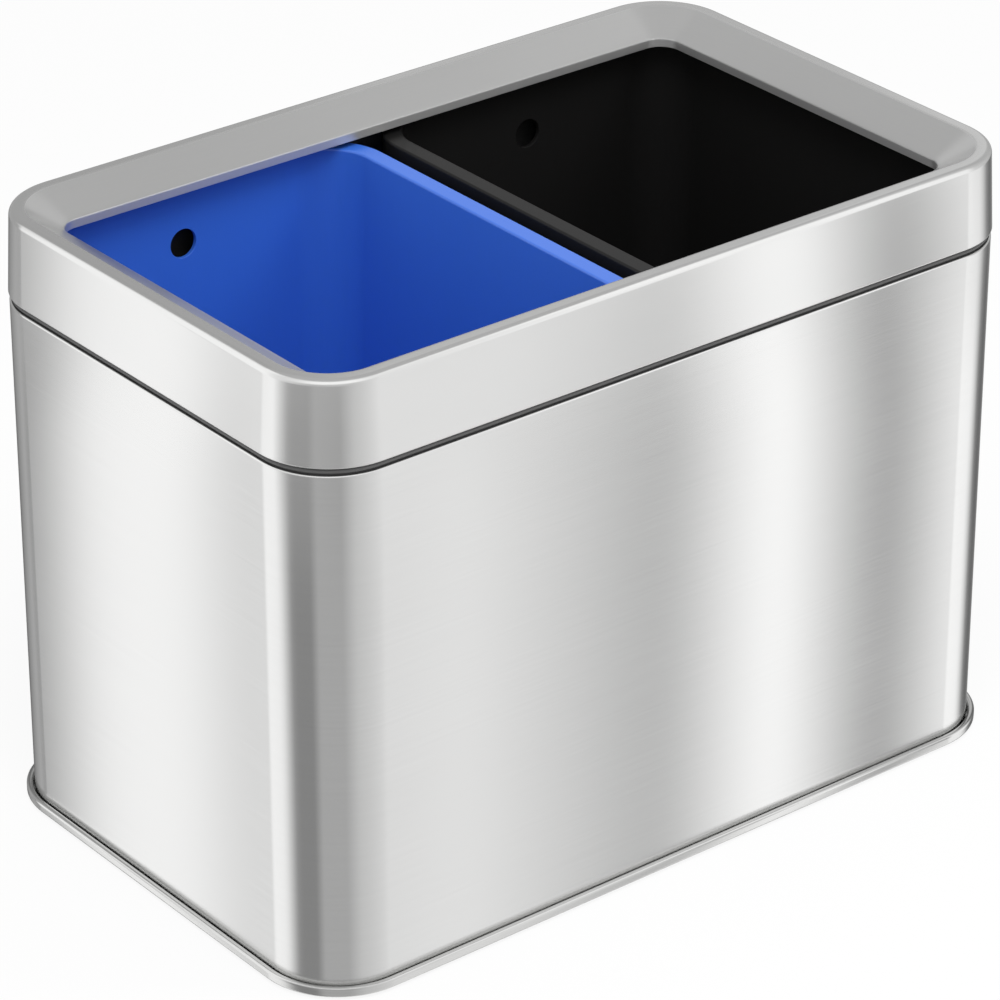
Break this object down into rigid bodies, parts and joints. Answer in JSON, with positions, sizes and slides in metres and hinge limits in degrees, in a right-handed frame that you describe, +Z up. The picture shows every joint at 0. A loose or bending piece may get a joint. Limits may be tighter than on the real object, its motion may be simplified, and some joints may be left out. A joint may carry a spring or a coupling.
{
  "type": "double recycling bin",
  "caption": "Rectangular brushed steel waste bin for sorting, with a lift-off frame round the open top and a blue and a black plastic inner bin side by side.",
  "frame": {"origin": "on the ground, under the middle of the body", "axes": "+X along the length, with the black bin on the +X side and the blue bin on the -X side; +Y towards the back wall, which the bag holes face; +Z up"},
  "size_m": [0.3994, 0.2504, 0.291],
  "materials": {
    "body_steel": "brushed along the length",
    "base_steel": "satin",
    "frame_steel": "satin",
    "ring_plastic": "fine matt",
    "blue_plastic": "semi-matt moulded",
    "black_plastic": "semi-matt moulded",
    "foot_rubber": "matt"
  },
  "bodies": {
    "body": {"body_shell": "body_steel", "base_pan": "base_steel", "foot_front_left": "foot_rubber", "foot_front_right": "foot_rubber", "foot_back_left": "foot_rubber", "foot_back_right": "foot_rubber"},
    "frame": {"top_frame": "frame_steel", "locating_ring": "ring_plastic"},
    "blue_bin": {"blue_bin": "blue_plastic"},
    "black_bin": {"black_bin": "black_plastic"}
  },
  "joints": [
    {"name": "frame_lift", "type": "slide", "parent": "body", "child": "frame", "axis": [0, 0, 1], "range_m": [0, 0.42]},
    {"name": "blue_bin_lift", "type": "slide", "parent": "body", "child": "blue_bin", "axis": [0, 0, 1], "range_m": [0, 0.294]},
    {"name": "black_bin_lift", "type": "slide", "parent": "body", "child": "black_bin", "axis": [0, 0, 1], "range_m": [0, 0.294]}
  ],
  "couplings": [
    {"joint": "blue_bin_lift", "follows": "frame_lift", "ratio": 0.7},
    {"joint": "black_bin_lift", "follows": "frame_lift", "ratio": 0.7}
  ]
}
